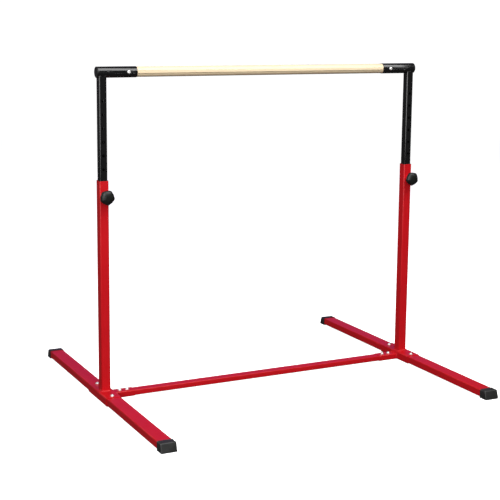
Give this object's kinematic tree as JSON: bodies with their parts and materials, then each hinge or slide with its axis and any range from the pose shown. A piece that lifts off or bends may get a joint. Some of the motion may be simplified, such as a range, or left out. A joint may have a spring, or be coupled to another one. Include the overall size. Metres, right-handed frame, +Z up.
{
  "type": "horizontal training bar",
  "caption": "Freestanding height-adjustable horizontal bar: round wooden rail on telescoping square posts, bolted tube floor base, capped feet, screw knobs.",
  "frame": {"origin": "on the floor, half way between the two posts", "axes": "+Z up, +X along the rail towards the right-hand post, -Y the front, where the knobs and the row of height holes are"},
  "size_m": [1.39, 1.27, 1.249],
  "materials": {
    "red_powder_coat": "gloss powder coat",
    "black_powder_coat": "satin powder coat",
    "rail_wood": "sanded, clear matt varnish",
    "zinc_steel": "bright zinc plated",
    "black_rubber": "matt moulded",
    "black_plastic": "fine moulded texture"
  },
  "bodies": {
    "base": {"crossbar": "red_powder_coat", "left_outer_post": "red_powder_coat", "left_foot_sleeve": "red_powder_coat", "left_crossbar_socket": "red_powder_coat", "left_base_welds": "red_powder_coat", "left_front_foot_tube": "red_powder_coat", "left_rear_foot_tube": "red_powder_coat", "left_front_foot_cap": "black_rubber", "left_rear_foot_cap": "black_rubber", "left_foot_bolts": "zinc_steel", "left_foot_bolt_washers": "zinc_steel", "left_foot_weld_nuts": "zinc_steel", "left_crossbar_bolts": "zinc_steel", "left_crossbar_bolt_washers": "zinc_steel", "left_crossbar_weld_nuts": "zinc_steel", "left_post_bush": "black_plastic", "left_lock_nut": "red_powder_coat", "right_outer_post": "red_powder_coat", "right_foot_sleeve": "red_powder_coat", "right_crossbar_socket": "red_powder_coat", "right_base_welds": "red_powder_coat", "right_front_foot_tube": "red_powder_coat", "right_rear_foot_tube": "red_powder_coat", "right_front_foot_cap": "black_rubber", "right_rear_foot_cap": "black_rubber", "right_foot_bolts": "zinc_steel", "right_foot_bolt_washers": "zinc_steel", "right_foot_weld_nuts": "zinc_steel", "right_crossbar_bolts": "zinc_steel", "right_crossbar_bolt_washers": "zinc_steel", "right_crossbar_weld_nuts": "zinc_steel", "right_post_bush": "black_plastic", "right_lock_nut": "red_powder_coat"},
    "upper_frame": {"rail": "rail_wood", "left_inner_post": "black_powder_coat", "left_inner_post_plug": "black_plastic", "left_rail_socket": "black_powder_coat", "left_socket_weld": "black_powder_coat", "left_socket_plug": "black_plastic", "left_rail_bolt": "zinc_steel", "left_rail_nut": "zinc_steel", "right_inner_post": "black_powder_coat", "right_inner_post_plug": "black_plastic", "right_rail_socket": "black_powder_coat", "right_socket_weld": "black_powder_coat", "right_socket_plug": "black_plastic", "right_rail_bolt": "zinc_steel", "right_rail_nut": "zinc_steel"},
    "left_lock_washer": {"left_lock_washer": "zinc_steel"},
    "left_lock_screw": {"left_lock_screw": "zinc_steel", "left_knob": "black_plastic"},
    "right_lock_washer": {"right_lock_washer": "zinc_steel"},
    "right_lock_screw": {"right_lock_screw": "zinc_steel", "right_knob": "black_plastic"}
  },
  "joints": [
    {"name": "height_slide", "type": "slide", "parent": "base", "child": "upper_frame", "axis": [0, 0, 1], "range_m": [-0.35, 0.25]},
    {"name": "left_lock_advance", "type": "slide", "parent": "base", "child": "left_lock_washer", "axis": [0, 1, 0], "range_m": [0, 0.00875]},
    {"name": "left_lock_turn", "type": "hinge", "parent": "left_lock_washer", "child": "left_lock_screw", "pos_m": [-0.665, -0.05, 0.775], "axis": [0, 1, 0], "range_deg": [0, 1800]},
    {"name": "right_lock_advance", "type": "slide", "parent": "base", "child": "right_lock_washer", "axis": [0, 1, 0], "range_m": [0, 0.00875]},
    {"name": "right_lock_turn", "type": "hinge", "parent": "right_lock_washer", "child": "right_lock_screw", "pos_m": [0.665, -0.05, 0.775], "axis": [0, 1, 0], "range_deg": [0, 1800]}
  ],
  "couplings": [
    {"joint": "left_lock_advance", "follows": "left_lock_turn", "m_per_rad": 0.00027852},
    {"joint": "right_lock_advance", "follows": "right_lock_turn", "m_per_rad": 0.00027852}
  ]
}
